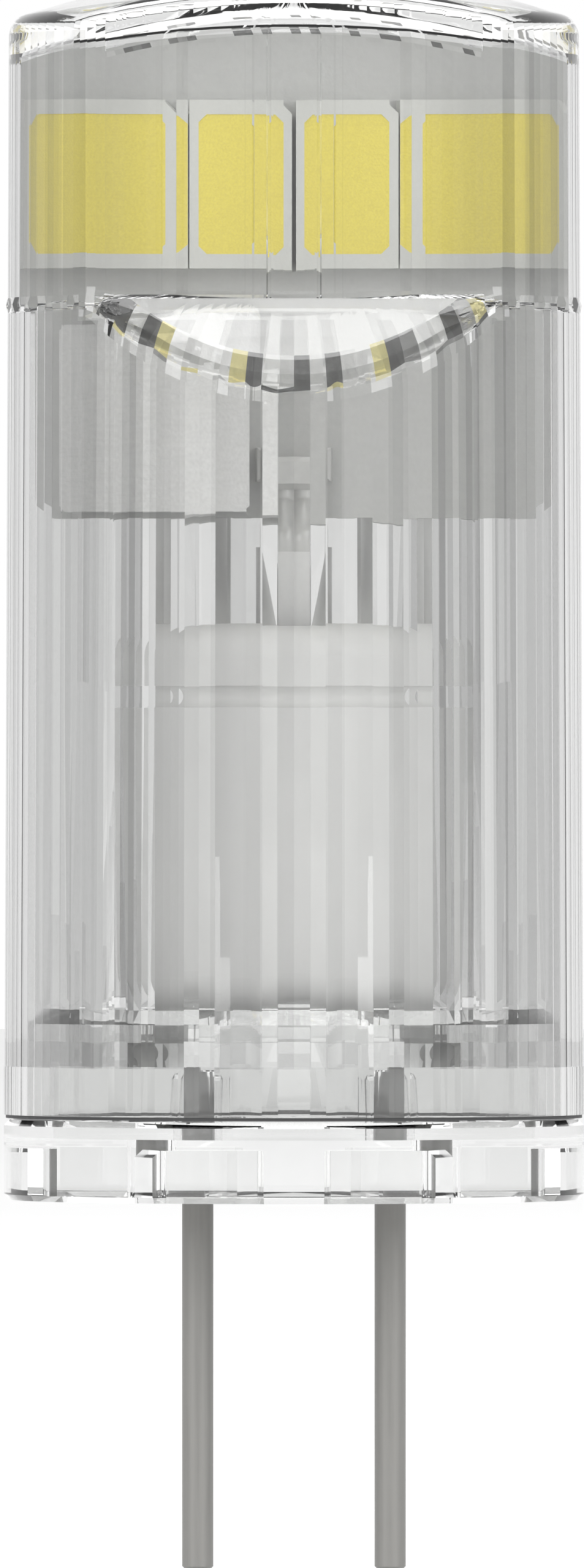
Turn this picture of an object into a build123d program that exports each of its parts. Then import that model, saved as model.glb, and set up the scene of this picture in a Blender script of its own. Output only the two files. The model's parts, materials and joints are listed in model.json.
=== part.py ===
from build123d import *
import math
import os

# Clear capsule lamp on two wire pins, in millimetres.
# The origin is at the centre of the base's seating face, +Z runs up to the domed end,
# the pins hang below in a row along X, and the flat windows face -Y and +Y.

# Clear cover
cover_foot_z = 1.77
cover_peak_z = 25.50
cover_foot_radius = 6.02
cover_top_radius = 5.93
cover_top_z = 24.00
cover_wall = 0.45
cover_facets = 108
cover_corner_radius = 0.40
dome_radius = 18.40
ceiling_z = 24.71
ceiling_radius = 15.97
collar_height = 1.00
collar_step = 0.01
past_edge = 1.00

# Flat windows, front and back
window_depth = 4.13
window_foot_z = 18.73
window_corner_radius = 0.78
window_runout_angle = 45.0
window_arc_radius = 7.20
window_arc_facets = 168
window_line_offset = 0.52
window_line_width = 0.08
window_line_depth = 0.10

# Base plug
plug_height = 1.67
plug_edge = 0.12
plug_land_inset = 0.18
spigot_top_z = 3.97
spigot_edge = 0.30
spigot_wall = 1.05
spigot_clearance = 0.05
hub_radius = 3.30
trough_floor_z = 1.95
web_top_z = 2.28
web_width = 0.50
web_turns = (30, 90, 150)
slot_height = 1.08
slot_half_length = 2.75
slot_near = 2.45
slot_far = 4.35
slot_edge = 0.15
slot_rib_width = 1.14
side_slot_near = 4.03
side_slot_far = 4.89
side_slot_length = 2.60
vent_radius = 0.15
vent_x = 3.55
vent_y = 1.90

# Contact pins
pin_spacing = 4.00
pin_radius = 0.325
pin_reach = 7.75
pin_top_z = 2.68
pin_clearance = 0.01
pin_tip = 0.12
pin_head_radius = 0.35

# Circuit board
board_foot_z = 14.15
board_top_clearance = 0.10
board_thickness = 0.80
board_side_clearance = 0.08
board_corner = 0.40

# Light row, the same on both faces
lamp_count = 4
lamp_gap = 0.08
lamp_side_clearance = 0.24
lamp_height = 3.50
lamp_thickness = 0.75
lamp_centre_z = 21.08
lamp_rim = 0.22
lamp_end_rim = 0.30
lamp_cup_depth = 0.40
lamp_cup_corner = 0.25
lamp_mark = 0.28
phosphor_below_rim = 0.02

# Choke on the front of the board
choke_width = 4.00
choke_height = 3.87
choke_thickness = 2.00
choke_side_clearance = 0.25
choke_foot_z = 14.27
choke_edge = 0.12
choke_pad_width = 1.10
choke_pad_thickness = 0.15
choke_pad_inset = 0.20

# Parts on the back of the board
rectifier_width = 3.70
rectifier_height = 2.60
rectifier_thickness = 1.50
rectifier_foot_z = 16.20
rectifier_leg_width = 0.50
rectifier_leg_reach = 0.45
rectifier_leg_spacing = 2.50
chip_top_edge = 0.10
chip_leg_thickness = 0.20
driver_width = 1.60
driver_height = 2.60
driver_thickness = 1.05
driver_centre_x = -3.70
driver_foot_z = 16.00
driver_leg_width = 0.35
driver_leg_spacing = 0.95
driver_leg_reach = 0.35
resistor_length = 2.00
resistor_width = 1.25
resistor_thickness = 0.50
resistor_cap_length = 0.35
resistor_centre_x = 3.40
resistor_lower_z = 15.80
resistor_upper_z = 17.60

# Reservoir capacitor
can_radius = 3.15
can_height = 7.98
sleeve_thickness = 0.12
can_groove_z = 10.44
can_groove_height = 0.44
can_groove_depth = 0.28
can_edge_radius = 0.55
can_mouth_radius = 2.35
bung_height = 0.90
bung_below_rim = 0.15
can_lead_radius = 0.25
can_lead_spacing = 2.50
lead_bend_z = 13.90
lead_joint_z = 14.65
lead_end_z = 15.60
lead_stand_off = 0.06
lead_tube_radius = 0.33

# Wires from the pins to the back of the board
wire_radius = 0.20
wire_cover_radius = 0.325
wire_run_z = 3.10
wire_back_y = 3.20
wire_lean_z = 11.90
wire_joint_z = 14.30
wire_end_z = 15.50
wire_cover_end_z = 14.90
wire_bend = 0.35
wire_channel_clearance = 0.08
solder_height = 0.70
solder_width = 0.90
solder_thickness = 0.72
solder_skin = 0.12
solder_edge = 0.12

# Sizes worked out from those above
can_foot_z = spigot_top_z
sleeve_radius = can_radius + sleeve_thickness
can_top_z = can_foot_z + can_height
draft_per_mm = (cover_foot_radius - cover_top_radius) / (cover_top_z - cover_foot_z)
facet_ratio = math.cos(math.pi / cover_facets)
collar_radius = cover_foot_radius + collar_step
plug_radius = collar_radius
cavity_foot_radius = cover_foot_radius - cover_wall


def cavity_half_width(z, y):
    """Half the width of the round cavity at height z, at distance y from its middle."""
    reach = (cavity_foot_radius - draft_per_mm * (z - cover_foot_z)) * facet_ratio
    return math.sqrt(reach**2 - y**2)


spigot_radius = cavity_half_width(spigot_top_z, 0) - spigot_clearance
window_inner_depth = window_depth - cover_wall
window_inner_foot_z = window_foot_z - cover_wall * math.tan(math.radians(window_runout_angle / 2))
board_face = board_thickness / 2
board_half_width = cavity_half_width(ceiling_z, board_face) - board_side_clearance
lamp_foot_z = lamp_centre_z - lamp_height / 2
lamp_top_z = lamp_foot_z + lamp_height
lamp_row_half = cavity_half_width(lamp_top_z, board_face + lamp_thickness) - lamp_side_clearance
lamp_pitch = (2 * lamp_row_half + lamp_gap) / lamp_count
lamp_width = lamp_pitch - lamp_gap
choke_top_z = choke_foot_z + choke_height
choke_left_x = choke_side_clearance - cavity_half_width(choke_top_z, board_face + choke_thickness)


def save(part, name):
    part.label = name
    export_step(part, f"parts/{name}.step")


def box_between(x0, x1, y0, y1, z0, z1):
    size = (abs(x1 - x0), abs(y1 - y0), abs(z1 - z0))
    centre = ((x0 + x1) / 2, (y0 + y1) / 2, (z0 + z1) / 2)
    return Pos(*centre) * Box(*size)


def rod(radius, z0, z1, x=0.0, y=0.0):
    return Pos(x, y, (z0 + z1) / 2) * Cylinder(radius, z1 - z0)


def facet_prism(foot_radius, z0, z1, turn=0.0):
    """Many-sided column that narrows towards the top by the cover's draft."""
    top_radius = foot_radius - draft_per_mm * (z1 - z0)
    foot = Plane.XY.offset(z0) * Rot(0, 0, turn) * RegularPolygon(foot_radius, cover_facets)
    top = Plane.XY.offset(z1) * Rot(0, 0, turn) * RegularPolygon(top_radius, cover_facets)
    return loft([foot.face(), top.face()], ruled=True)


def domed_blank(side_radius, foot_z, peak_z, sphere_radius, corner):
    """Round blank under a shallow dome, with the dome's edge rounded."""
    shoulder_z = peak_z - sphere_radius + math.sqrt(sphere_radius**2 - side_radius**2)
    mid_x = side_radius / 2
    mid_z = peak_z - sphere_radius + math.sqrt(sphere_radius**2 - mid_x**2)
    outline = [
        Line((0, foot_z), (side_radius, foot_z)),
        Line((side_radius, foot_z), (side_radius, shoulder_z)),
        ThreePointArc((side_radius, shoulder_z), (mid_x, mid_z), (0, peak_z)),
        Line((0, peak_z), (0, foot_z)),
    ]
    profile = make_face(outline)
    if corner > 0:
        edge_corner = profile.vertices().sort_by(Axis.X)[-2:].sort_by(Axis.Y)[-1]
        profile = fillet(edge_corner, corner)
    return revolve(Plane.XZ * profile, Axis.Z)


def window_cutter(depth, foot_z):
    """Everything in front of one flat window and its sloping foot, facing -Y."""
    far = collar_radius + past_edge
    top = cover_peak_z + past_edge
    drop = (far - depth) * math.tan(math.radians(window_runout_angle))
    corners = [(-depth, top), (-depth, foot_z), (-far, foot_z - drop), (-far, top)]
    profile = make_face(Polyline(*corners, close=True))
    return extrude(Plane.YZ * profile, far, both=True)


def cut_windows(body, depth, foot_z):
    front = window_cutter(depth, foot_z)
    return body - front - Rot(0, 0, 180) * front


def window_edge_form():
    """Column through the windows, with their upright edges rounded."""
    radius = cover_foot_radius - draft_per_mm * (window_foot_z - cover_foot_z)
    section = Circle(radius) & Rectangle(3 * radius, 2 * window_depth)
    section = fillet(section.vertices(), window_corner_radius)
    height = cover_peak_z + past_edge - window_foot_z
    column = extrude(Plane.XY.offset(window_foot_z) * section, height)
    return column + rod(collar_radius + past_edge, cover_foot_z, window_foot_z)


def window_arc_cutter():
    """Everything in front of the hollow, facetted inside of one window, above its foot."""
    far = collar_radius + past_edge
    centre_y = window_arc_radius - window_inner_depth
    arc = Pos(0, centre_y) * RegularPolygon(window_arc_radius, window_arc_facets)
    section = Pos(0, -far / 2) * Rectangle(2 * far, far) - arc
    return extrude(Plane.XY.offset(window_inner_foot_z) * section, cover_peak_z - window_inner_foot_z)


def window_lines():
    """Two fine upright grooves on the inside of each window."""
    far = window_inner_depth + window_line_depth
    half = window_line_width / 2
    grooves = []
    for x in (-window_line_offset, window_line_offset):
        groove = box_between(x - half, x + half, 0, -far, window_inner_foot_z, ceiling_z - past_edge)
        grooves += [groove, Rot(0, 0, 180) * groove]
    return grooves


def make_cover():
    reach = cover_peak_z + past_edge
    blank = domed_blank(cover_top_radius, cover_foot_z, cover_peak_z, dome_radius, cover_corner_radius)
    lower = rod(collar_radius + past_edge, cover_foot_z, window_foot_z)
    outer = facet_prism(cover_foot_radius, cover_foot_z, reach) & (blank + lower) & window_edge_form()
    outer = cut_windows(outer, window_depth, window_foot_z)
    outer += rod(collar_radius, cover_foot_z, cover_foot_z + collar_height)
    round_ceiling = domed_blank(cavity_foot_radius + past_edge, cover_foot_z, ceiling_z, ceiling_radius, 0)
    hollow = facet_prism(cavity_foot_radius, cover_foot_z, reach) & round_ceiling
    hollow = cut_windows(hollow, window_inner_depth, window_inner_foot_z)
    hollow -= window_arc_cutter()
    hollow -= Rot(0, 0, 180) * window_arc_cutter()
    for groove in window_lines():
        hollow += groove
    return outer - hollow


def trough_ring(z0, z1):
    return rod(spigot_radius - spigot_wall, z0, z1) - rod(hub_radius, z0, z1)


def underside_slots():
    """Moulded recesses under the plug: a pair across the front, a pair across the back, one each side."""
    half_rib = slot_rib_width / 2
    cuts = []
    for side in (-1, 1):
        slot = box_between(half_rib, slot_half_length, slot_near, slot_far, 0, slot_height)
        upper_end = slot.edges().filter_by(Axis.Y).group_by(Axis.Z)[-1].sort_by(Axis.X)[-1]
        slot = chamfer(upper_end, slot_edge)
        cuts += [Rot(0, 0, 90 - 90 * side) * slot, Rot(0, 0, 90 - 90 * side) * mirror(slot, Plane.YZ)]
        half_length = side_slot_length / 2
        pocket = box_between(side_slot_near, side_slot_far, -half_length, half_length, 0, slot_height)
        cuts += [pocket if side > 0 else mirror(pocket, Plane.YZ)]
        for y in (-vent_y, vent_y):
            cuts.append(rod(vent_radius, 0, slot_height, side * vent_x, y))
    return cuts


def wire_channel(side):
    """Groove in the plug's hub and spigot that lets a wire out from over its pin."""
    reach = wire_cover_radius + wire_channel_clearance
    x = side * pin_spacing / 2
    back = wire_back_y + reach
    return box_between(x - reach, x + reach, -reach, back, pin_top_z, spigot_top_z)


def make_plug():
    flange = chamfer(rod(plug_radius, 0, plug_height).edges(), plug_edge)
    land = rod(cover_foot_radius - plug_land_inset, plug_height - plug_edge, cover_foot_z)
    spigot = rod(spigot_radius, cover_foot_z, spigot_top_z)
    spigot = chamfer(spigot.edges().group_by(Axis.Z)[-1], spigot_edge)
    plug = flange + land + spigot
    plug -= trough_ring(trough_floor_z, spigot_top_z)
    half = web_width / 2
    web = box_between(-hub_radius * 2, hub_radius * 2, -half, half, trough_floor_z, web_top_z)
    for turn in web_turns:
        plug += (Rot(0, 0, turn) * web) & trough_ring(trough_floor_z, web_top_z)
    for cut in underside_slots():
        plug -= cut
    for side in (-1, 1):
        x = side * pin_spacing / 2
        plug -= rod(pin_head_radius + pin_clearance, 0, pin_top_z, x)
        plug -= wire_channel(side)
    return plug


def make_pin(side):
    """Contact pin with a slightly thicker head that is held inside the plug."""
    outline = [
        (0, -pin_reach),
        (pin_radius - pin_tip, -pin_reach),
        (pin_radius, pin_tip - pin_reach),
        (pin_radius, 0),
        (pin_head_radius, 0),
        (pin_head_radius, pin_top_z),
        (0, pin_top_z),
    ]
    pin = revolve(Plane.XZ * make_face(Polyline(*outline, close=True)), Axis.Z)
    return Pos(side * pin_spacing / 2) * pin


def make_board():
    """Board with chamfered foot corners and an arched top that follows the dome."""
    half = board_half_width
    board = box_between(-half, half, -board_face, board_face, board_foot_z, ceiling_z)
    board = chamfer(board.edges().filter_by(Axis.Y).group_by(Axis.Z)[0], board_corner)
    top_z = ceiling_z - board_top_clearance
    arch_radius = ceiling_radius - board_top_clearance
    return board & domed_blank(half + past_edge, board_foot_z, top_z, arch_radius, 0)


def lamp_x(index):
    return (index - (lamp_count - 1) / 2) * lamp_pitch


def phosphor_block(x, top_y):
    half = lamp_width / 2 - lamp_rim
    low = lamp_foot_z + lamp_end_rim
    high = lamp_top_z - lamp_end_rim
    floor_y = -board_face - lamp_thickness + lamp_cup_depth
    block = box_between(x - half, x + half, floor_y, top_y, low, high)
    return chamfer(block.edges().filter_by(Axis.Y), lamp_cup_corner)


def make_lamp(index):
    """One light package on the front face: its white body and the phosphor in its cup."""
    x = lamp_x(index)
    face = -board_face - lamp_thickness
    half = lamp_width / 2
    body = box_between(x - half, x + half, -board_face, face, lamp_foot_z, lamp_top_z)
    marked_edge = body.edges().filter_by(Axis.Y).group_by(Axis.Z)[-1].sort_by(Axis.X)[-1]
    body = chamfer(marked_edge, lamp_mark)
    body -= phosphor_block(x, face - past_edge)
    return body, phosphor_block(x, face + phosphor_below_rim)


def make_choke():
    x0 = choke_left_x
    x1 = x0 + choke_width
    near = -board_face - choke_pad_thickness
    body = box_between(x0, x1, near, -board_face - choke_thickness, choke_foot_z, choke_top_z)
    body = chamfer(body.edges().filter_by(Axis.Y), choke_edge)
    low = choke_foot_z + choke_pad_inset
    high = choke_top_z - choke_pad_inset
    pads = [
        box_between(x0, x0 + choke_pad_width, -board_face, near, low, high),
        box_between(x1 - choke_pad_width, x1, -board_face, near, low, high),
    ]
    return body, Compound(children=pads)


def legged_chip(centre_x, foot_z, width, height, thickness, leg_width, leg_reach, leg_xs, leg_thickness):
    """Chip on the back of the board with flat legs above and below its body."""
    top = foot_z + height
    near = board_face + leg_thickness
    body = box_between(centre_x - width / 2, centre_x + width / 2, near, board_face + thickness, foot_z, top)
    body = chamfer(body.faces().sort_by(Axis.Y)[-1].edges(), chip_top_edge)
    legs = []
    for offset in leg_xs:
        x0 = centre_x + offset - leg_width / 2
        legs.append(box_between(x0, x0 + leg_width, board_face, near, foot_z - leg_reach, foot_z + leg_reach))
        legs.append(box_between(x0, x0 + leg_width, board_face, near, top - leg_reach, top + leg_reach))
    return body, Compound(children=legs)


def make_rectifier():
    half = rectifier_leg_spacing / 2
    return legged_chip(
        0.0, rectifier_foot_z, rectifier_width, rectifier_height, rectifier_thickness,
        rectifier_leg_width, rectifier_leg_reach, (-half, half), chip_leg_thickness)


def make_driver():
    step = driver_leg_spacing / 2
    return legged_chip(
        driver_centre_x, driver_foot_z, driver_width, driver_height, driver_thickness,
        driver_leg_width, driver_leg_reach, (-step, step), chip_leg_thickness)


def make_resistor(foot_z):
    x0 = resistor_centre_x - resistor_length / 2
    x1 = resistor_centre_x + resistor_length / 2
    far = board_face + resistor_thickness
    top = foot_z + resistor_width
    body = box_between(x0 + resistor_cap_length, x1 - resistor_cap_length, board_face, far, foot_z, top)
    caps = [
        box_between(x0, x0 + resistor_cap_length, board_face, far, foot_z, top),
        box_between(x1 - resistor_cap_length, x1, board_face, far, foot_z, top),
    ]
    return body, Compound(children=caps)


def can_outline(radius, foot_z, top_z, corner, groove_height):
    """Half outline of the capacitor can, from its foot to its top edge, with the rolled groove."""
    low = can_groove_z - groove_height / 2
    high = can_groove_z + groove_height / 2
    inner = radius - can_groove_depth
    return [
        Line((0, foot_z), (radius - corner, foot_z)),
        RadiusArc((radius - corner, foot_z), (radius, foot_z + corner), -corner),
        Line((radius, foot_z + corner), (radius, low)),
        ThreePointArc((radius, low), (inner, can_groove_z), (radius, high)),
        Line((radius, high), (radius, top_z - corner)),
        RadiusArc((radius, top_z - corner), (radius - corner, top_z), -corner),
        Line((radius - corner, top_z), (0, top_z)),
        Line((0, top_z), (0, foot_z)),
    ]


def turned(outline):
    return revolve(Plane.XZ * make_face(outline), Axis.Z)


def make_capacitor():
    gap = sleeve_thickness
    inside = can_outline(can_radius, can_foot_z + gap, can_top_z - gap, can_edge_radius, can_groove_height)
    outside = can_outline(sleeve_radius, can_foot_z, can_top_z, can_edge_radius + gap, can_groove_height)
    can_solid = turned(inside)
    sleeve = turned(outside) - can_solid
    sleeve -= rod(can_mouth_radius, can_top_z - past_edge, can_top_z + past_edge)
    sleeve -= rod(can_mouth_radius, can_foot_z - past_edge, can_foot_z + past_edge)
    rim_z = can_top_z - gap
    bung_top = rim_z - bung_below_rim
    pocket = rod(can_mouth_radius, bung_top - bung_height, rim_z + past_edge)
    can = can_solid - pocket
    bung = rod(can_mouth_radius, bung_top - bung_height, bung_top)
    for y in (-can_lead_spacing / 2, can_lead_spacing / 2):
        bung -= rod(can_lead_radius, bung_top - bung_height, bung_top, 0, y)
    return can, sleeve, bung


def wire_along(points, radius, bend):
    path = FilletPolyline(*points, radius=bend)
    start = Plane(origin=points[0], z_dir=path % 0)
    return sweep(start * Circle(radius), path=path)


def make_can_lead(side):
    """Capacitor lead, its white tube and the joint that holds it to the board; side -1 is the front."""
    y = side * can_lead_spacing / 2
    flat_y = side * (board_face + lead_stand_off + can_lead_radius)
    foot = can_top_z - sleeve_thickness - bung_below_rim - bung_height
    points = [(0, y, foot), (0, y, lead_bend_z), (0, flat_y, lead_joint_z), (0, flat_y, lead_end_z)]
    lead = wire_along(points, can_lead_radius, wire_bend)
    tube_foot = can_top_z - sleeve_thickness - bung_below_rim
    tube = rod(lead_tube_radius, tube_foot, lead_bend_z - wire_bend, 0, y)
    tube -= rod(can_lead_radius, tube_foot, lead_bend_z, 0, y)
    joint = solder_blob(0, side, lead_end_z) - lead
    return lead, tube, joint


def solder_blob(x, side, end_z):
    half = solder_width / 2
    near = side * board_face
    far = side * (board_face + solder_thickness)
    blob = box_between(x - half, x + half, near, far, end_z - solder_height, end_z)
    outer = blob.faces().sort_by(Axis.Y)[-1 if side > 0 else 0]
    return chamfer(outer.edges(), solder_edge)


def make_wire(side):
    """Wire from the top of one pin, up behind the capacitor, to the back of the board."""
    x = side * pin_spacing / 2
    board_y = board_face + wire_cover_radius
    points = [
        (x, 0, pin_top_z),
        (x, 0, wire_run_z),
        (x, wire_back_y, wire_run_z),
        (x, wire_back_y, wire_lean_z),
        (x, board_y, wire_joint_z),
        (x, board_y, wire_end_z),
    ]
    wire = wire_along(points, wire_radius, wire_bend)
    cover_points = [(x, wire_cover_radius, wire_run_z)] + points[2:5] + [(x, board_y, wire_cover_end_z)]
    jacket = wire_along(cover_points, wire_cover_radius, wire_bend) - wire
    joint_blob = box_between(
        x - solder_width / 2, x + solder_width / 2, board_face, board_y + wire_radius + solder_skin,
        wire_cover_end_z, wire_end_z)
    return wire, jacket, joint_blob - wire


def save_fixed_pieces():
    save(make_cover(), "cover")
    save(make_plug(), "base_plug")
    save(make_board(), "board")
    save(make_pin(-1), "pin_left")
    save(make_pin(1), "pin_right")


def save_lamps():
    for index in range(lamp_count):
        body, phosphor = make_lamp(index)
        save(body, f"lamp_body_front_{index + 1}")
        save(phosphor, f"phosphor_front_{index + 1}")
        save(Rot(0, 0, 180) * body, f"lamp_body_back_{index + 1}")
        save(Rot(0, 0, 180) * phosphor, f"phosphor_back_{index + 1}")


def save_chips():
    body, pads = make_choke()
    save(body, "choke")
    save(pads, "choke_pads")
    body, legs = make_rectifier()
    save(body, "rectifier")
    save(legs, "rectifier_legs")
    body, legs = make_driver()
    save(body, "driver_chip")
    save(legs, "driver_chip_legs")
    for foot_z, name in ((resistor_lower_z, "resistor_lower"), (resistor_upper_z, "resistor_upper")):
        body, caps = make_resistor(foot_z)
        save(body, name)
        save(caps, name + "_caps")


def save_capacitor():
    can, sleeve, bung = make_capacitor()
    save(can, "capacitor_can")
    save(sleeve, "capacitor_sleeve")
    save(bung, "capacitor_bung")
    for side, name in ((-1, "front"), (1, "back")):
        lead, tube, joint = make_can_lead(side)
        save(lead, f"capacitor_lead_{name}")
        save(tube, f"lead_tube_{name}")
        save(joint, f"lead_solder_{name}")


def save_wires():
    for side, name in ((-1, "left"), (1, "right")):
        wire, jacket, joint = make_wire(side)
        save(wire, f"wire_{name}")
        save(jacket, f"wire_jacket_{name}")
        save(joint, f"wire_solder_{name}")


if __name__ == "__main__":
    os.makedirs("parts", exist_ok=True)
    save_fixed_pieces()
    save_lamps()
    save_chips()
    save_capacitor()
    save_wires()
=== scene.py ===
import json
import math

import bmesh
import bpy
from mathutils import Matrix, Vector


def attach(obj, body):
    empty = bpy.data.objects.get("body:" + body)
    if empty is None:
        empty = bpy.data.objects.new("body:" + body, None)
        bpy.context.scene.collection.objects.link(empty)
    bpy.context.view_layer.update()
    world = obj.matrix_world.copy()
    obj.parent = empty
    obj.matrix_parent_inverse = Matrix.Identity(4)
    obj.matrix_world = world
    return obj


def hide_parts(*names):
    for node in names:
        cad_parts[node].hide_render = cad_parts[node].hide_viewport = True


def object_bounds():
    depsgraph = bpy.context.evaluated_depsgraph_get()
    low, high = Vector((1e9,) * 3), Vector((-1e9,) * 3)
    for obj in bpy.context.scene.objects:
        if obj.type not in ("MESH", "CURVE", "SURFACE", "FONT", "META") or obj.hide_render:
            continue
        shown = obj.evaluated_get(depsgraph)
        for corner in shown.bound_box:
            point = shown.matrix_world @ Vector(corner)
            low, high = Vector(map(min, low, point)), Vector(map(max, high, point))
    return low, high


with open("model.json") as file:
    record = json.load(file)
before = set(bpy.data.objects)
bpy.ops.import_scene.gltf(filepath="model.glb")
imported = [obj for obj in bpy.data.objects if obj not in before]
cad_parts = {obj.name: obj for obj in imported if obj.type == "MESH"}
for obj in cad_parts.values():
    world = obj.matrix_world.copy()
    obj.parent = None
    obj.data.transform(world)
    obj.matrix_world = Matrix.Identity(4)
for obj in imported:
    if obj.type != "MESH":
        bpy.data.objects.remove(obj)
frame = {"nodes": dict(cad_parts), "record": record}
cad_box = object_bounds()
scene = bpy.context.scene
MM = 0.001

# Photograph frame, in pixels of 953 x 2560
PX_PER_MM = 78.5
IMAGE_WIDTH_PX = 953
IMAGE_HEIGHT_PX = 2560
AXIS_PX = 479.7
SEAT_PX = 1958

# Camera and studio, in metres
CAMERA_DISTANCE = 0.50
CLIP_NEAR, CLIP_FAR = 0.01, 10
SENSOR_MM = 36.0
SOFT_LIGHT, WHITE_LIGHT = 0.85, 1.0
CLEAR_BOUNCES = 24
FLOOR_HALF = 1.5
FLOOR_DROP = 0.004
FLOOR_TONE, FLOOR_ROUGHNESS = 0.95, 0.8

# Lamps: name, place, size in metres, power in watts
LIGHT_TARGET = (0, 0, 0.012)
LAMPS = (
    ("key_left", (-0.6, -0.7, 0.35), 0.5, 4.0),
    ("key_right", (0.6, -0.7, 0.35), 0.5, 4.0),
    ("overhead", (0, 0, 0.7), 0.35, 1.8),
)

# Cover, in millimetres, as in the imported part
FACETS = 108
FACET_TURN = 2 * math.pi / FACETS
HALF_FACETS = FACETS // 2
FOOT_Z = 1.77
FOOT_RADIUS = 6.02
DRAFT = 0.09 / 22.23
COLLAR_RADIUS = 6.03
COLLAR_TOP_Z = 2.77
RUN_OUT_DEGREES = 45
OUTER_FACE = {"radius": FOOT_RADIUS, "depth": 4.13, "foot_z": 18.73, "peak_z": 25.50, "dome_radius": 18.40}
INNER_FACE = {"radius": 5.57, "depth": 3.68, "foot_z": 18.544, "peak_z": 24.71, "dome_radius": 15.97}
LENS_RADIUS = 7.2

# Cover, rounded edges in millimetres
OUTER_EDGE, OUTER_CROWN, OUTER_SPAN = 0.30, 0.29, 0.45
INNER_EDGE, INNER_CROWN, INNER_SPAN = 0.03, 0.15, 0.12
RIM_RADIUS = 0.55
RUN_OUT_RADIUS = 0.08
EDGE_LIFT = 0.4

# Cover, fine relief in millimetres
FLUTE_DEPTH = 0.055
FLUTE_FOOT_Z = 4.0
FLUTE_FADE = 0.2
FLUTE_CALM = 0.15
FLUTE_SLOW, FLUTE_FAST, FLUTE_SHARE = 2.2, 5.1, 0.6
WINDOW_FLUTE_SHARE = 0.2
CHIP_HEIGHT = 0.1
CHIP_REACH = 0.3
CHIP_CLEARANCE = 0.05
CHIP_TURNS = 4.3
INSIDE_LINES = (
    (0.0, 0.0), (0.47, 0.0), (0.505, 0.05), (0.535, 0.05), (0.57, 0.0), (0.82, 0.0),
    (1.0, 0.1), (1.01, 0.0), (2.19, 0.0), (2.46, -0.06), (2.71, 0.0), (9.0, 0.0),
)

# Cover, rows and columns of its mesh
EDGE_FACETS = (11, 12, 13, 14, 39, 40, 41, 42)
EDGE_STEPS = 2
OUTER_CROWN_ROWS, INNER_CROWN_ROWS, CRISP_CROWN_ROWS = 10, 5, 4
RUN_OUT_POINTS, LEDGE_POINTS, WINDOW_FOOT_POINTS = 4, 3, 5
ROWS_BELOW_RIM, ROWS_ABOVE_RIM = 2, 3
BELOW_DOME_Z = 22.8
CROWN_CENTRE_Z = 20.0
ROW_GAP = 0.1
DOME_SHARES = (0.8, 0.6, 0.4, 0.2)
HIT_REACH = 9.0
HIT_STEPS = 26
SAME_FACET = 1e-6

# Base plug, in millimetres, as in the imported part, with a chamber round the pins
TURN_STEPS = 108
FLANGE_RADIUS = 6.03
FLANGE_TOP_Z = 1.67
FLANGE_BEVEL = 0.12
NECK_RADIUS = 5.84
SPIGOT_RADIUS = 5.51
SPIGOT_TOP_Z = 3.97
SPIGOT_BEVEL = 0.3
HUB_RADIUS = 3.30
TROUGH_WALL = 1.05
TROUGH_Z = 3.30
SLOT_TOP_Z = 1.08
CHAMBER_FOOT_Z = 1.30
CHAMBER_TOP_Z = 2.80
CHAMBER_RADIUS = 5.00
PIN_PLACES = (-2.0, 2.0)
PIN_HOLE_RADIUS = 0.36
PIN_SLEEVE_RADIUS = 0.516
PIN_SLEEVE_FOOT_Z = 1.0
SHOULDER, SHOULDER_INSET, SHOULDER_DROP = 0.14, 0.05, 0.04
PIN_TOP_Z = 2.69
CHANNEL_HALF = 0.405
CHANNEL_REACH = 3.605
CHANNEL_LAP = 0.01
SLOT_X, SLOT_Y, SLOT_BEVEL = (0.57, 2.75), (2.45, 4.35), 0.15
POCKET_X, POCKET_HALF = (4.03, 4.89), 1.3
CUT_PAST = 0.1
CLEAR_OF_SPIGOT_Z = 4.1
CREASE_ANGLE = math.radians(20)

# Dark ring in the joint between cover and base, painted shade standing in for the shadow inside the gap, in
# millimetres
JOINT_SHADE_RADII = (5.845, 5.99)
JOINT_SHADE_HEIGHTS = (1.70, 1.768)

# Looks of the clear plastic
COVER_TINT = (0.85, 0.852, 0.848)
PLUG_TINT = (0.91, 0.912, 0.909)
CLEAR_IOR = 1.5
NOISE_LOW, NOISE_HIGH = 0.3, 0.7
# Colours of the painted glints: white highlight, dark reflection, yellow reflection of the LEDs
PAINTED_GLINT_WHITE, PAINTED_GLINT_DARK, PAINTED_GLINT_YELLOW = (1, 1, 1), (0.06, 0.06, 0.06), (0.8, 0.68, 0.2)
DARK_CHANCE = (0.35, 0.65)
YELLOW_CHANCE = (0.82, 0.84)

# Painted shade: darker streaks on the flats, standing in for the shade seen through the facets, in
# millimetres where it is a place
PAINTED_SHADE_DEPTH = 0.58
STREAK_CHANCE = (0.3, 0.9)
STREAK_TOP_Z = 24.2
FRONT_STREAK_SHARE = 0.4
FRONT_FADE = (5.1, 5.5)
WINDOW_BACK, WINDOW_FOOT_Z, WINDOW_HALF = 2.2, 18.2, 4.3

# Painted glints on the rim of the run-out and painted light and dark glint dashes at the edge of the
# ceiling, in millimetres
# The run-out slopes at 45 degrees, so height plus depth is the same all over it
RUN_OUT_SUM = OUTER_FACE["depth"] + OUTER_FACE["foot_z"]
RIM_BAND = 0.32
RIM_GLINT = 0.26
RIM_GLINT_SHIFT = 0.37
RIM_LEAST_RADIUS = 5.4
RIM_LEAST_DEPTH = 4.2
CEILING_CENTRE_Z = INNER_FACE["peak_z"] - INNER_FACE["dome_radius"]
CEILING_BAND = 0.05
CEILING_HALF, CEILING_REACH = 4.0, 5.65
CEILING_GAP = -0.1
DASH_LENGTH = 0.2
DASH_SLANT = 0.4
DASH_CHANCE = (0.45, 0.55)
# Dark of the painted dashes: a painted dark reflection
PAINTED_DARK_DASH = (0.1, 0.1, 0.1)

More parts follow.
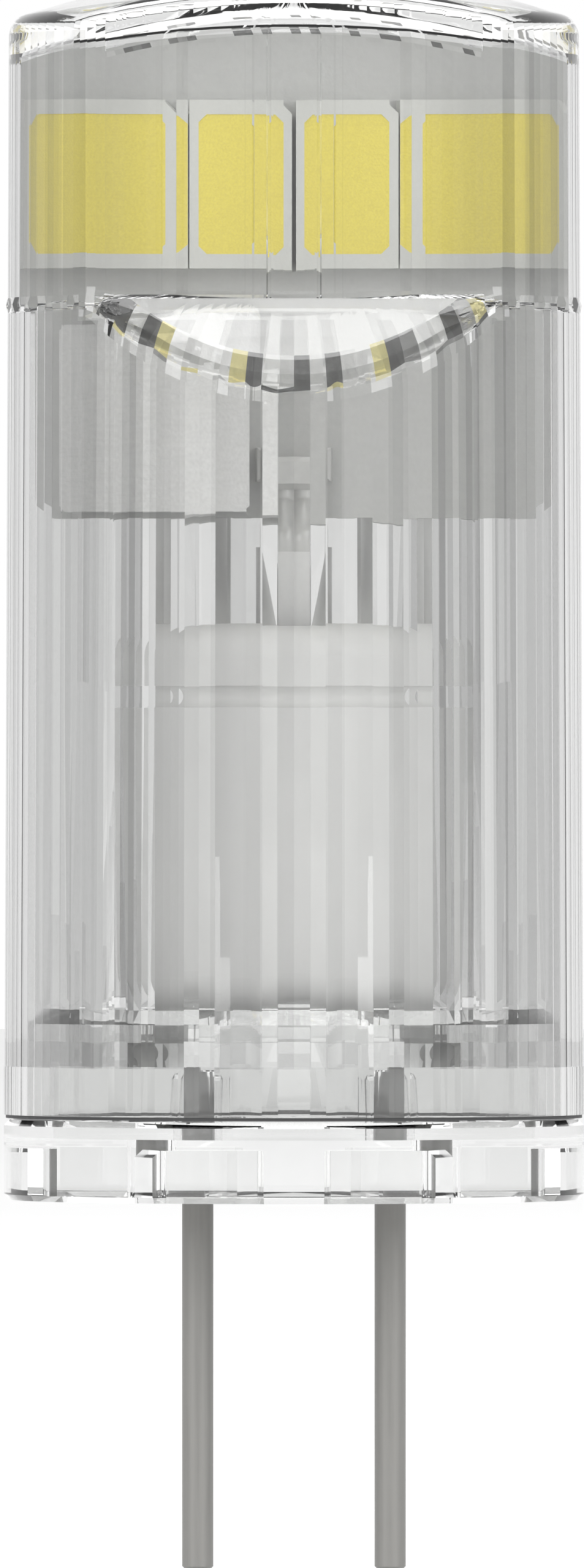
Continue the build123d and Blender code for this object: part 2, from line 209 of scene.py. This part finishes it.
# Looks of the other pieces, one for each material slot
FINISHES = {
    "board_white": {
        "color": (0.61, 0.613, 0.60), "roughness": 0.42, "grain_per_mm": 9.0, "detail": 4.0,
        "mottle": 0.03, "rough_range": (0.36, 0.5), "relief_mm": 0.004},
    "lamp_white": {
        "color": (0.74, 0.745, 0.71), "roughness": 0.38, "grain_per_mm": 14.0,
        "mottle": 0.02, "rough_range": (0.3, 0.45), "relief_mm": 0.002},
    "phosphor": {
        "color": (0.96, 0.80, 0.115), "roughness": 0.32, "grain_per_mm": 28.0, "detail": 5.0,
        "mottle": 0.07, "rough_range": (0.3, 0.5), "relief_mm": 0.006, "coat": 0.25, "coat_roughness": 0.15},
    "pin_steel": {
        "color": (0.20, 0.197, 0.187), "roughness": 0.5, "metal": 0.35, "grain_per_mm": 14.0, "detail": 4.0,
        "stretch": (1, 1, 0.04), "mottle": 0.06, "rough_range": (0.42, 0.58), "relief_mm": 0.001},
    "choke_grey": {
        "color": (0.9, 0.9, 0.89), "roughness": 0.6, "grain_per_mm": 12.0, "detail": 5.0,
        "mottle": 0.06, "rough_range": (0.5, 0.7), "relief_mm": 0.01},
    "chip_black": {
        "color": (0.03, 0.03, 0.032), "roughness": 0.5, "grain_per_mm": 20.0, "detail": 4.0,
        "mottle": 0.25, "rough_range": (0.42, 0.6), "relief_mm": 0.004},
    "can_metal": {
        "color": (0.8, 0.8, 0.8), "roughness": 0.3, "metal": 1.0, "grain_per_mm": 8.0,
        "stretch": (1, 1, 0.1), "mottle": 0.06, "rough_range": (0.24, 0.4), "relief_mm": 0.002},
    "sleeve_white": {
        "color": (0.90, 0.90, 0.89), "roughness": 0.42, "grain_per_mm": 1.6,
        "stretch": (1, 1, 0.35), "mottle": 0.02, "rough_range": (0.36, 0.5), "relief_mm": 0.012},
    "bung_rubber": {
        "color": (0.035, 0.035, 0.036), "roughness": 0.7, "grain_per_mm": 10.0,
        "mottle": 0.2, "rough_range": (0.6, 0.8), "relief_mm": 0.008},
    "tube_white": {
        "color": (0.82, 0.82, 0.81), "roughness": 0.35, "grain_per_mm": 8.0,
        "mottle": 0.02, "rough_range": (0.3, 0.42), "relief_mm": 0.003},
}
TIN_TONES = {"tinned_pads": 0.72, "lead_tin": 0.66, "solder": 0.7}
TIN_WARMTH = 0.98


def link(tree, a, b):
    tree.links.new(a, b)


class Maker:
    """Builds one Principled material, step by step."""

    def __init__(self, name, color, roughness, metallic=0.0):
        self.mat = bpy.data.materials.new(name)
        self.mat.use_nodes = True
        self.tree = self.mat.node_tree
        self.shader = self.tree.nodes["Principled BSDF"]
        self.coords = self.tree.nodes.new("ShaderNodeTexCoord").outputs["Object"]
        self.set("Base Color", (*color, 1))
        self.set("Roughness", roughness)
        self.set("Metallic", metallic)
        self.color = color

    def set(self, socket, value):
        self.shader.inputs[socket].default_value = value
        return self

    def stretched(self, scale):
        node = self.tree.nodes.new("ShaderNodeMapping")
        node.inputs["Scale"].default_value = scale
        link(self.tree, self.coords, node.inputs["Vector"])
        return node.outputs["Vector"]

    def noise(self, per_mm, detail=3.0, stretch=(1, 1, 1)):
        node = self.tree.nodes.new("ShaderNodeTexNoise")
        node.inputs["Scale"].default_value = per_mm / MM
        node.inputs["Detail"].default_value = detail
        link(self.tree, self.stretched(stretch), node.inputs["Vector"])
        return node.outputs["Fac"]

    def remap(self, value, low, high, to_low=0.0, to_high=1.0):
        node = self.tree.nodes.new("ShaderNodeMapRange")
        for name, number in (("From Min", low), ("From Max", high), ("To Min", to_low), ("To Max", to_high)):
            node.inputs[name].default_value = number
        link(self.tree, value, node.inputs["Value"])
        return node.outputs["Result"]

    def spread(self, value, low, high):
        """The usual range of a noise, drawn out to the range from low to high."""
        return self.remap(value, NOISE_LOW, NOISE_HIGH, low, high)

    def mottle(self, value, amount):
        """Colour varies by a small share of itself with the noise."""
        darker = tuple(c * (1 - amount) for c in self.color)
        lighter = tuple(min(1, c * (1 + amount)) for c in self.color)
        return self.paint(self.blend(self.spread(value, 0, 1), darker, lighter))

    def paint(self, color):
        link(self.tree, color, self.shader.inputs["Base Color"])
        return self

    def rough(self, value, low, high):
        link(self.tree, self.spread(value, low, high), self.shader.inputs["Roughness"])
        return self

    def split(self):
        """The three coordinates, in millimetres."""
        node = self.tree.nodes.new("ShaderNodeSeparateXYZ")
        link(self.tree, self.stretched((1 / MM, 1 / MM, 1 / MM)), node.inputs[0])
        return node.outputs

    def feed(self, value, socket):
        """A socket takes a link, a plain number or a colour."""
        if isinstance(value, bpy.types.NodeSocket):
            link(self.tree, value, socket)
        else:
            socket.default_value = (*value, 1) if isinstance(value, tuple) else value

    def math(self, operation, a, b=0.0):
        node = self.tree.nodes.new("ShaderNodeMath")
        node.operation = operation
        self.feed(a, node.inputs[0])
        self.feed(b, node.inputs[1])
        return node.outputs[0]

    def over(self, value, limit):
        return self.math("GREATER_THAN", value, limit)

    def under(self, value, limit):
        return self.math("LESS_THAN", value, limit)

    def length(self, a, b):
        squares = self.math("ADD", self.math("MULTIPLY", a, a), self.math("MULTIPLY", b, b))
        return self.math("SQRT", squares)

    def near(self, value, place, reach):
        return self.under(self.math("ABSOLUTE", self.math("SUBTRACT", value, place)), reach)

    def every(self, first, *others):
        """Product of shares: all of the conditions together."""
        for other in others:
            first = self.math("MULTIPLY", first, other)
        return first

    def painted_glint(self, chance):
        """Painted glint of a small facet: a white highlight, a dark reflection or a yellow reflection of the
        LEDs.
        """
        dark = self.blend(self.remap(chance, *YELLOW_CHANCE), PAINTED_GLINT_DARK, PAINTED_GLINT_YELLOW)
        return self.blend(self.remap(chance, *DARK_CHANCE), PAINTED_GLINT_WHITE, dark)

    def random(self, value):
        """A number from 0 to 1 for each value, the same in each run."""
        node = self.tree.nodes.new("ShaderNodeTexWhiteNoise")
        node.noise_dimensions = "1D"
        link(self.tree, value, node.inputs["W"])
        return node.outputs["Value"]

    def blend(self, share, first, second):
        """The first colour where the share is 0, the second where it is 1."""
        node = self.tree.nodes.new("ShaderNodeMix")
        node.data_type = "RGBA"
        link(self.tree, share, node.inputs[0])
        self.feed(first, node.inputs[6])
        self.feed(second, node.inputs[7])
        return node.outputs[2]

    def bump(self, value, height_mm):
        node = self.tree.nodes.new("ShaderNodeBump")
        node.inputs["Distance"].default_value = height_mm * MM
        link(self.tree, value, node.inputs["Height"])
        link(self.tree, node.outputs["Normal"], self.shader.inputs["Normal"])
        return self


def clear_plastic(name, tint):
    """Clear moulded plastic, very slightly uneven."""
    m = Maker(name, tint, 0.0)
    m.set("Transmission Weight", 1.0).set("IOR", CLEAR_IOR)
    m.mottle(m.noise(per_mm=0.4), amount=0.004)
    m.rough(m.noise(per_mm=0.8), low=0.0, high=0.012)
    return m


def painted_shade_streak_share(m, x, y, z, flat_number):
    """How much painted shade darkens a flat: by its number, less at the front and back, none in the windows.
    """
    width = m.math("ABSOLUTE", x)
    depth = m.math("ABSOLUTE", y)
    in_window = m.every(m.over(depth, WINDOW_BACK), m.over(z, WINDOW_FOOT_Z), m.under(width, WINDOW_HALF))
    column = m.every(m.over(z, COLLAR_TOP_Z), m.under(z, STREAK_TOP_Z), m.math("SUBTRACT", 1.0, in_window))
    front = m.remap(depth, *FRONT_FADE, 1.0, FRONT_STREAK_SHARE)
    return m.every(m.remap(m.random(flat_number), *STREAK_CHANCE), front, column)


def painted_rim_glints(m, look, x, y, z, flat_number):
    """Painted glints where the run-out meets the column, one to a flat and a step of height."""
    depth = m.math("ABSOLUTE", y)
    height = m.math("SUBTRACT", m.math("ADD", z, depth), RUN_OUT_SUM)
    band = m.near(height, 0.0, RIM_BAND)
    rim = m.every(band, m.over(m.length(x, y), RIM_LEAST_RADIUS), m.over(depth, RIM_LEAST_DEPTH))
    row = m.math("FLOOR", m.math("DIVIDE", height, RIM_GLINT))
    number = m.math("ADD", flat_number, m.math("MULTIPLY", row, RIM_GLINT_SHIFT))
    return m.blend(rim, look, m.painted_glint(m.random(number)))


def painted_ceiling_glints(m, look, x, y, z):
    """Painted light and dark glint dashes where the inside of the dome meets the lens behind each window."""
    width = m.math("ABSOLUTE", x)
    depth = m.math("ABSOLUTE", y)
    reach = m.length(x, y)
    dome = m.length(reach, m.math("SUBTRACT", z, CEILING_CENTRE_Z))
    under_dome = m.near(dome, INNER_FACE["dome_radius"], CEILING_BAND)
    lens = m.math("SQRT", m.math("SUBTRACT", LENS_RADIUS ** 2, m.math("MULTIPLY", x, x)))
    from_lens = m.math("SUBTRACT", m.math("ADD", depth, LENS_RADIUS - INNER_FACE["depth"]), lens)
    inside = m.every(m.under(width, CEILING_HALF), m.under(reach, CEILING_REACH))
    edge = m.every(under_dome, m.over(from_lens, CEILING_GAP), inside)
    along = m.math("ADD", x, m.math("MULTIPLY", z, DASH_SLANT))
    number = m.math("FLOOR", m.math("DIVIDE", along, DASH_LENGTH))
    painted_dash = m.blend(m.remap(m.random(number), *DASH_CHANCE), PAINTED_GLINT_WHITE, PAINTED_DARK_DASH)
    return m.blend(edge, look, painted_dash)


def plastic_with_painted_light(name, tint):
    """Clear plastic with painted shade streaks on its flats, painted glints at its sharp edges and painted
    glint dashes at the ceiling's edge.
    """
    m = clear_plastic(name, tint)
    x, y, z = m.split()
    flat_number = m.math("FLOOR", m.math("MULTIPLY", m.math("ARCTAN2", y, x), FACETS / (2 * math.pi)))
    look = m.shader.inputs["Base Color"].links[0].from_socket
    # Painted shade: darker streaks on the flats
    look = m.blend(painted_shade_streak_share(m, x, y, z, flat_number), look, tuple(c * PAINTED_SHADE_DEPTH for c in tint))
    # Painted glints: highlights and reflections on the rim of the run-out
    look = painted_rim_glints(m, look, x, y, z, flat_number)
    # Painted glints: light and dark dashes at the edge of the ceiling
    return m.paint(painted_ceiling_glints(m, look, x, y, z))


def grained(name, color, roughness, grain_per_mm, mottle, rough_range, relief_mm,
            metal=0.0, detail=3.0, stretch=(1, 1, 1), coat=0.0, coat_roughness=0.0):
    """A finish whose colour, gloss and fine relief follow one grain."""
    m = Maker(name, color, roughness, metal)
    grain = m.noise(grain_per_mm, detail, stretch)
    if coat:
        m.set("Coat Weight", coat).set("Coat Roughness", coat_roughness)
    return m.mottle(grain, mottle).rough(grain, *rough_range).bump(grain, relief_mm)


def tinned(name, tone):
    return grained(name, color=(tone, tone, tone * TIN_WARMTH), roughness=0.45, metal=0.4, grain_per_mm=5.0,
                   mottle=0.05, rough_range=(0.38, 0.55), relief_mm=0.006)


def dress_nodes():
    """Every CAD node takes the finish of its material slot."""
    makers = {
        "clear_cover": plastic_with_painted_light("clear_cover", COVER_TINT),
        "clear_plug": clear_plastic("clear_plug", PLUG_TINT),
    }
    makers.update((name, grained(name, **look)) for name, look in FINISHES.items())
    makers.update((name, tinned(name, tone)) for name, tone in TIN_TONES.items())
    finish = {name: maker.mat for name, maker in makers.items()}
    slot_of = {row["node"]: row["material_slot"] for row in frame["record"]["subparts"]}
    for name, obj in frame["nodes"].items():
        obj.data.materials.clear()
        obj.data.materials.append(finish[slot_of[name]])
    return finish


def blend_out(a, b, r):
    """Outer corner of two faces, rounded; both are signed distances."""
    u = max(a + r, 0.0)
    v = max(b + r, 0.0)
    return min(-r, max(a, b)) + math.hypot(u, v)


def blend_in(a, b, r):
    """Inner corner of two faces, rounded."""
    return -blend_out(-a, -b, r)


def flute(k):
    """Depth of the fine upright flutes at facet boundary k, the same left and right, and calm in front."""
    quarter = HALF_FACETS // 2
    m = quarter - abs(quarter - k % HALF_FACETS)
    calm = max(0.0, math.sin(m * FACET_TURN) ** 2 - FLUTE_CALM)
    return FLUTE_DEPTH * calm * (math.sin(FLUTE_SLOW * m) + FLUTE_SHARE * math.sin(FLUTE_FAST * m + 1.0))


class Wall:
    """One face of the cover: a facetted column with two windows, their run-outs and a dome."""

    def __init__(self, radius, depth, foot_z, peak_z, dome_radius, edge, rim, crown, crown_rows, lens=0):
        self.radius = radius
        self.depth = depth
        self.foot_z = foot_z
        self.peak_z = peak_z
        self.dome_radius = dome_radius
        self.edge = edge
        self.rim = rim
        self.crown = crown
        self.crown_rows = crown_rows
        self.lens = lens
        self.slope = math.tan(math.radians(RUN_OUT_DEGREES))
        self.slant = math.cos(math.radians(RUN_OUT_DEGREES))

    def window_at(self, x):
        """Depth of the curved inside of the window, with its fine lines."""
        line = 0.0
        for (x0, d0), (x1, d1) in zip(INSIDE_LINES, INSIDE_LINES[1:]):
            if x0 <= abs(x) < x1:
                line = d0 + (d1 - d0) * (abs(x) - x0) / (x1 - x0)
        return self.depth - self.lens + math.sqrt(self.lens ** 2 - x * x) + line

    def ripple(self, angle, z):
        """The inner face has flutes, which end above the base plug."""
        if not self.lens:
            return 0.0
        share = min(max((z - FLUTE_FOOT_Z) / FLUTE_FADE, 0.0), 1.0)
        turns = angle / (2 * math.pi) * FACETS
        k = math.floor(turns)
        t = turns - k
        return share * (flute(k) * (1 - t) + flute(k + 1) * t)

    def chips(self, angle, z):
        """Small uneven facets along the rim of the run-out."""
        if self.lens or z > self.foot_z - CHIP_CLEARANCE:
            return 0.0
        gap = abs(z - self.run_out_z(angle))
        turn = angle / (2 * math.pi) * FACETS
        return CHIP_HEIGHT * max(0.0, 1 - gap / CHIP_REACH) * math.sin(CHIP_TURNS * turn)

    def outside(self, angle, reach, z):
        """Signed distance from this face: below zero on the axis side."""
        x = reach * math.cos(angle)
        y = abs(reach * math.sin(angle))
        middle = (math.floor(angle / FACET_TURN + SAME_FACET) + 0.5) * FACET_TURN
        apothem = (self.radius - DRAFT * (z - FOOT_Z)) * math.cos(FACET_TURN / 2)
        facet = reach * math.cos(angle - middle) - apothem - self.ripple(angle, z)
        flat = y - self.depth
        ledge = (z - self.foot_z + self.slope * flat) * self.slant
        window = blend_in(flat, ledge, RUN_OUT_RADIUS)
        if self.lens:
            lens = y - self.window_at(x) - self.ripple(angle, z) * WINDOW_FLUTE_SHARE
            window = max(window, min(lens, z - self.foot_z))
        lower = min(max((self.foot_z - z) / EDGE_LIFT, 0.0), 1.0)
        edge = self.edge + (self.rim - self.edge) * lower
        side = blend_out(facet + self.chips(angle, z), window, edge)
        dome = math.hypot(reach, z - self.peak_z + self.dome_radius) - self.dome_radius
        return blend_out(side, dome, self.crown)

    def hit(self, angle, z, rise=0.0):
        """Where a ray from the axis at height z meets this face; rise is its elevation."""
        low, high = 0.0, HIT_REACH
        dr, dz = math.cos(rise), math.sin(rise)
        for _ in range(HIT_STEPS):
            mid = (low + high) / 2
            if self.outside(angle, dr * mid, z + dz * mid) < 0:
                low = mid
            else:
                high = mid
        return low * dr, z + low * dz

    def run_out_z(self, angle):
        """Height at which the run-out meets the column."""
        reach = self.radius - DRAFT * (self.foot_z - FOOT_Z)
        gap = abs(reach * math.sin(angle)) - self.depth
        return self.foot_z - max(gap, 0.0) * self.slope

    def rows(self, angle, low_z, span):
        """Points of one column, from low_z up to just beside the axis; span spreads the run-out's rows."""
        ledge_z = self.run_out_z(angle)
        mid_z = ledge_z + min(span, (self.foot_z - ledge_z) / 2)
        third = span / 3
        near_z = max(mid_z, self.foot_z - third)
        heights = [low_z, FLUTE_FOOT_Z, FLUTE_FOOT_Z + FLUTE_FADE, (low_z + ledge_z) / 2]
        heights += spaced(ledge_z - span, mid_z, RUN_OUT_POINTS)
        heights += spaced(mid_z, near_z, LEDGE_POINTS)[1:]
        heights += spaced(near_z, self.foot_z + third, WINDOW_FOOT_POINTS)[1:]
        reach = self.hit(angle, BELOW_DOME_Z)[0]
        corner_z = self.dome_z(reach)
        crown = 2 * self.crown
        heights += [self.foot_z + third + ROW_GAP, corner_z - crown - ROW_GAP]
        points = [self.hit(angle, z) for z in heights]
        start = math.atan2(corner_z - crown - CROWN_CENTRE_Z, reach)
        end = math.atan2(self.dome_z(reach - crown) - CROWN_CENTRE_Z, reach - crown)
        points += [self.hit(angle, CROWN_CENTRE_Z, rise) for rise in spaced(start, end, self.crown_rows)]
        points += [(reach * share, self.dome_z(reach * share)) for share in DOME_SHARES]
        return points

    def dome_z(self, reach):
        """Height of the dome at a distance from the axis."""
        return self.peak_z - self.dome_radius + math.sqrt(self.dome_radius ** 2 - reach ** 2)


def spaced(a, b, count):
    return [a + (b - a) * i / (count - 1) for i in range(count)]


def column_angles():
    """Angles of the columns, at every facet boundary and, in front and behind, at the fine lines inside."""
    angles = []
    for k in range(FACETS):
        steps = EDGE_STEPS if k % HALF_FACETS in EDGE_FACETS else 1
        angles += [(k + j / steps) * 2 * math.pi / FACETS for j in range(steps)]
    for x, _ in INSIDE_LINES[1:-1]:
        turn = math.atan2(INNER_FACE["depth"] - LENS_RADIUS + math.sqrt(LENS_RADIUS ** 2 - x * x), x)
        angles += [turn, math.pi - turn, math.pi + turn, 2 * math.pi - turn]
    return sorted(angles)


def around(r, z, angle):
    """A point in metres, from its radius and height in millimetres."""
    return (r * math.cos(angle) * MM, r * math.sin(angle) * MM, z * MM)


def add_wall(bm, wall, angles, low_z, span, foot_points):
    """Skin of one wall, crisp at its flats and corners; returns its lowest ring of vertices."""
    grid = [[bm.verts.new(around(r, z, angle)) for r, z in foot_points + wall.rows(angle, low_z, span)]
            for angle in angles]
    pole = bm.verts.new((0, 0, wall.peak_z * MM))
    count = len(grid[0])
    side_rows = count - len(DOME_SHARES) - wall.crown_rows
    if wall.lens:
        crisp_rows = count - len(DOME_SHARES)
        rim_rows = range(side_rows, crisp_rows)
    else:
        crisp_rows = side_rows + CRISP_CROWN_ROWS
        rim_rows = range(len(foot_points) + ROWS_BELOW_RIM, side_rows - ROWS_ABOVE_RIM)
    for j, column in enumerate(grid):
        after = grid[(j + 1) % len(grid)]
        for i in range(count - 1):
            bm.faces.new((column[i], after[i], after[i + 1], column[i + 1]))
            bm.edges.get((column[i], column[i + 1])).smooth = i >= crisp_rows
        bm.faces.new((column[-1], after[-1], pole))
        for i in (*range(len(foot_points) + 1), *rim_rows):
            bm.edges.get((column[i], after[i])).smooth = False
    return [column[0] for column in grid]


def add_object(name, data):
    obj = bpy.data.objects.new(name, data)
    scene.collection.objects.link(obj)
    return obj


def add_mesh(name, bm):
    """Closes the work on a mesh: faces look outward, and it becomes an object."""
    bmesh.ops.recalc_face_normals(bm, faces=bm.faces)
    mesh = bpy.data.meshes.new(name)
    bm.to_mesh(mesh)
    bm.free()
    return add_object(name, mesh)


def turned(name, outline, x=0.0):
    """Helper solid in millimetres: an outline of (radius, height) turned about an upright axis."""
    bm = bmesh.new()
    steps = TURN_STEPS if outline[1][0] > 1 else TURN_STEPS // 3
    rings = []
    for r, z in outline:
        angles = [i * 2 * math.pi / steps for i in range(steps)] if r else [0.0]
        rings.append([bm.verts.new((x + r * math.cos(a), r * math.sin(a), z)) for a in angles])
    for low, high in zip(rings, rings[1:]):
        for i in range(steps):
            n = i + 1
            corners = [low[i % len(low)], low[n % len(low)], high[n % len(high)], high[i % len(high)]]
            bm.faces.new(list(dict.fromkeys(corners)))
    return add_mesh(name, bm)


def cylinder(name, radius, low_z, high_z, x=0.0):
    return turned(name, ((0, low_z), (radius, low_z), (radius, high_z), (0, high_z)), x)


def block(name, low, high, bevel=0.0):
    """Helper solid in millimetres: a box, with its upper outer end bevelled."""
    bm = bmesh.new()
    (x0, y0, z0), (x1, y1, z1) = low, high
    cut = bevel if x1 > 0 else -bevel
    far, near = (x1, x0) if x1 > 0 else (x0, x1)
    profile = [(near, z0), (far, z0), (far, z1 - bevel), (far - cut, z1), (near, z1)]
    if not bevel:
        profile.pop(2)
    front = [bm.verts.new((x, y0, z)) for x, z in profile]
    back = [bm.verts.new((x, y1, z)) for x, z in profile]
    bm.faces.new(front)
    bm.faces.new(back)
    for i in range(len(profile)):
        n = (i + 1) % len(profile)
        bm.faces.new((front[i], front[n], back[n], back[i]))
    return add_mesh(name, bm)


def carve(body, cutters):
    """Mesh of a helper solid with the other helpers cut out of it; the helpers are deleted."""
    for cutter in cutters:
        cut = body.modifiers.new(cutter.name, "BOOLEAN")
        cut.operation = "DIFFERENCE"
        cut.solver = "EXACT"
        cut.object = cutter
    graph = bpy.context.evaluated_depsgraph_get()
    mesh = bpy.data.meshes.new_from_object(body.evaluated_get(graph))
    for obj in (body, *cutters):
        bpy.data.objects.remove(obj)
    return mesh


def plug_cutters():
    """Chamber round the pin sleeves, trough on top, wire channels, pin holes and underside recesses."""
    r, top, low_z = PIN_SLEEVE_RADIUS, PIN_TOP_Z, PIN_SLEEVE_FOOT_Z
    shoulder = ((r, top - SHOULDER), (r - SHOULDER_INSET, top - SHOULDER_DROP), (r - SHOULDER, top))
    sleeves = [turned("sleeve", ((0, low_z), (r, low_z), *shoulder, (0, top)), x) for x in PIN_PLACES]
    chamber = carve(cylinder("chamber", CHAMBER_RADIUS, CHAMBER_FOOT_Z, CHAMBER_TOP_Z), sleeves)
    rim = SPIGOT_RADIUS - TROUGH_WALL
    high_z = CLEAR_OF_SPIGOT_Z
    trough = turned("trough", ((HUB_RADIUS, TROUGH_Z), (rim, TROUGH_Z), (rim, high_z), (HUB_RADIUS, high_z),
                               (HUB_RADIUS, TROUGH_Z)))
    cutters = [add_object("chamber", chamber), trough]
    for x in PIN_PLACES:
        cutters.append(cylinder("hole", PIN_HOLE_RADIUS, -CUT_PAST, top, x))
        cutters.append(block("channel", (x - CHANNEL_HALF, -CHANNEL_HALF, top - CHANNEL_LAP),
                             (x + CHANNEL_HALF, CHANNEL_REACH, high_z)))
        side = math.copysign(1, x)
        low, high = sorted(side * place for place in SLOT_X)
        for y0, y1 in ((-SLOT_Y[1], -SLOT_Y[0]), SLOT_Y):
            cutters.append(block("slot", (low, y0, -CUT_PAST), (high, y1, SLOT_TOP_Z), SLOT_BEVEL))
        low, high = sorted(side * place for place in POCKET_X)
        cutters.append(block("pocket", (low, -POCKET_HALF, -CUT_PAST), (high, POCKET_HALF, SLOT_TOP_Z)))
    return cutters


def make_plug(material):
    """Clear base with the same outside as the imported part, hollow round its pins."""
    flange, bevel, neck = FLANGE_RADIUS, FLANGE_BEVEL, NECK_RADIUS
    body = turned("plug_blank", (
        (0, 0), (flange - bevel, 0), (flange, bevel), (flange, FLANGE_TOP_Z - bevel),
        (flange - bevel, FLANGE_TOP_Z), (neck, FLANGE_TOP_Z), (neck, FOOT_Z),
        (SPIGOT_RADIUS, FOOT_Z), (SPIGOT_RADIUS, SPIGOT_TOP_Z - SPIGOT_BEVEL),
        (SPIGOT_RADIUS - SPIGOT_BEVEL, SPIGOT_TOP_Z), (0, SPIGOT_TOP_Z)))
    mesh = carve(body, plug_cutters())
    bm = bmesh.new()
    bm.from_mesh(mesh)
    bmesh.ops.scale(bm, vec=(MM, MM, MM), verts=bm.verts)
    for face in bm.faces:
        face.smooth = True
    for edge in bm.edges:
        edge.smooth = edge.calc_face_angle(math.pi) < CREASE_ANGLE
    bm.to_mesh(mesh)
    bm.free()
    mesh.materials.clear()
    mesh.materials.append(material)
    obj = add_object("plug_skin", mesh)
    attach(obj, "root")
    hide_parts("base_plug")


def make_joint_shade(material):
    """Dark ring between the cover's foot and the base: painted shade, standing in for the shadow inside the
    gap.
    """
    bm = bmesh.new()
    (r0, r1), (z0, z1) = JOINT_SHADE_RADII, JOINT_SHADE_HEIGHTS
    profile = ((r0, z0), (r1, z0), (r1, z1), (r0, z1))
    angles = [i * 2 * math.pi / FACETS for i in range(FACETS)]
    rings = [[bm.verts.new(around(r, z, angle)) for r, z in profile] for angle in angles]
    for i, ring in enumerate(rings):
        after = rings[(i + 1) % FACETS]
        for k in range(len(profile)):
            n = (k + 1) % len(profile)
            bm.faces.new((ring[k], after[k], after[n], ring[n]))
    obj = add_mesh("joint_shade_ring", bm)
    obj.data.materials.append(material)
    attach(obj, "root")


def make_cover(material):
    """Clear cover as one closed skin: an outer and an inner face, joined at the foot."""
    outer = Wall(**OUTER_FACE, edge=OUTER_EDGE, rim=RIM_RADIUS, crown=OUTER_CROWN,
                 crown_rows=OUTER_CROWN_ROWS)
    inner = Wall(**INNER_FACE, edge=INNER_EDGE, rim=INNER_EDGE, crown=INNER_CROWN,
                 crown_rows=INNER_CROWN_ROWS, lens=LENS_RADIUS)
    angles = column_angles()
    bm = bmesh.new()
    collar = [(COLLAR_RADIUS, FOOT_Z), (COLLAR_RADIUS, COLLAR_TOP_Z)]
    low_out = add_wall(bm, outer, angles, COLLAR_TOP_Z, OUTER_SPAN, collar)
    low_in = add_wall(bm, inner, angles, FOOT_Z, INNER_SPAN, [])
    for j in range(len(angles)):
        n = (j + 1) % len(angles)
        bm.faces.new((low_out[j], low_out[n], low_in[n], low_in[j]))
        bm.edges.get((low_out[j], low_out[n])).smooth = False
        bm.edges.get((low_in[j], low_in[n])).smooth = False
    for face in bm.faces:
        face.smooth = True
    obj = add_mesh("cover_skin", bm)
    obj.data.materials.append(material)
    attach(obj, "root")
    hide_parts("cover")


def white_world():
    """Plain soft light from all round; the view, the glass and the metal see it as white."""
    world = bpy.data.worlds.new("studio")
    scene.world = world
    world.use_nodes = True
    tree = world.node_tree
    tree.nodes.clear()
    out = tree.nodes.new("ShaderNodeOutputWorld")
    backgrounds = []
    for strength in (SOFT_LIGHT, WHITE_LIGHT):
        node = tree.nodes.new("ShaderNodeBackground")
        node.inputs["Color"].default_value = (1, 1, 1, 1)
        node.inputs["Strength"].default_value = strength
        backgrounds.append(node.outputs[0])
    path = tree.nodes.new("ShaderNodeLightPath")
    seen = path.outputs["Is Camera Ray"]
    for ray in ("Is Glossy Ray", "Is Transmission Ray"):
        either = tree.nodes.new("ShaderNodeMath")
        either.operation = "MAXIMUM"
        link(tree, seen, either.inputs[0])
        link(tree, path.outputs[ray], either.inputs[1])
        seen = either.outputs[0]
    mix = tree.nodes.new("ShaderNodeMixShader")
    link(tree, seen, mix.inputs[0])
    link(tree, backgrounds[0], mix.inputs[1])
    link(tree, backgrounds[1], mix.inputs[2])
    link(tree, mix.outputs[0], out.inputs["Surface"])


def area_light(name, place, size, power):
    data = bpy.data.lights.new(name, "AREA")
    data.size = size
    data.energy = power
    lamp = add_object(name, data)
    lamp.location = place
    lamp.rotation_euler = (Vector(LIGHT_TARGET) - Vector(place)).to_track_quat("-Z", "Y").to_euler()


def make_floor():
    z = cad_box[0].z - FLOOR_DROP
    mesh = bpy.data.meshes.new("floor")
    corners = [(x * FLOOR_HALF, y * FLOOR_HALF, z) for x, y in ((-1, -1), (1, -1), (1, 1), (-1, 1))]
    mesh.from_pydata(corners, [], [(0, 1, 2, 3)])
    m = Maker("floor_pale", (FLOOR_TONE, FLOOR_TONE, FLOOR_TONE), FLOOR_ROUGHNESS)
    m.mottle(m.noise(per_mm=0.02), amount=0.01)
    mesh.materials.append(m.mat)
    add_object("floor", mesh)


def make_camera():
    """Level camera that looks along +Y and shows the photograph's frame at the depth of the axis."""
    data = bpy.data.cameras.new("camera")
    camera = add_object("camera", data)
    centre_x = (IMAGE_WIDTH_PX / 2 - AXIS_PX) / PX_PER_MM * MM
    centre_z = (SEAT_PX - IMAGE_HEIGHT_PX / 2) / PX_PER_MM * MM
    camera.location = (centre_x, -CAMERA_DISTANCE, centre_z)
    camera.rotation_euler = (math.pi / 2, 0, 0)
    data.sensor_width = SENSOR_MM
    data.lens = SENSOR_MM * CAMERA_DISTANCE / (IMAGE_HEIGHT_PX / PX_PER_MM * MM)
    data.clip_start, data.clip_end = CLIP_NEAR, CLIP_FAR
    scene.camera = camera


scene.view_settings.view_transform = "Standard"
scene.cycles.max_bounces = CLEAR_BOUNCES
scene.cycles.transmission_bounces = CLEAR_BOUNCES
finish = dress_nodes()
make_cover(finish["clear_cover"])
make_plug(finish["clear_plug"])
# Painted shade: dark ring in the joint's gap
make_joint_shade(finish["bung_rubber"])
white_world()
for lamp in LAMPS:
    area_light(*lamp)
make_floor()
make_camera()
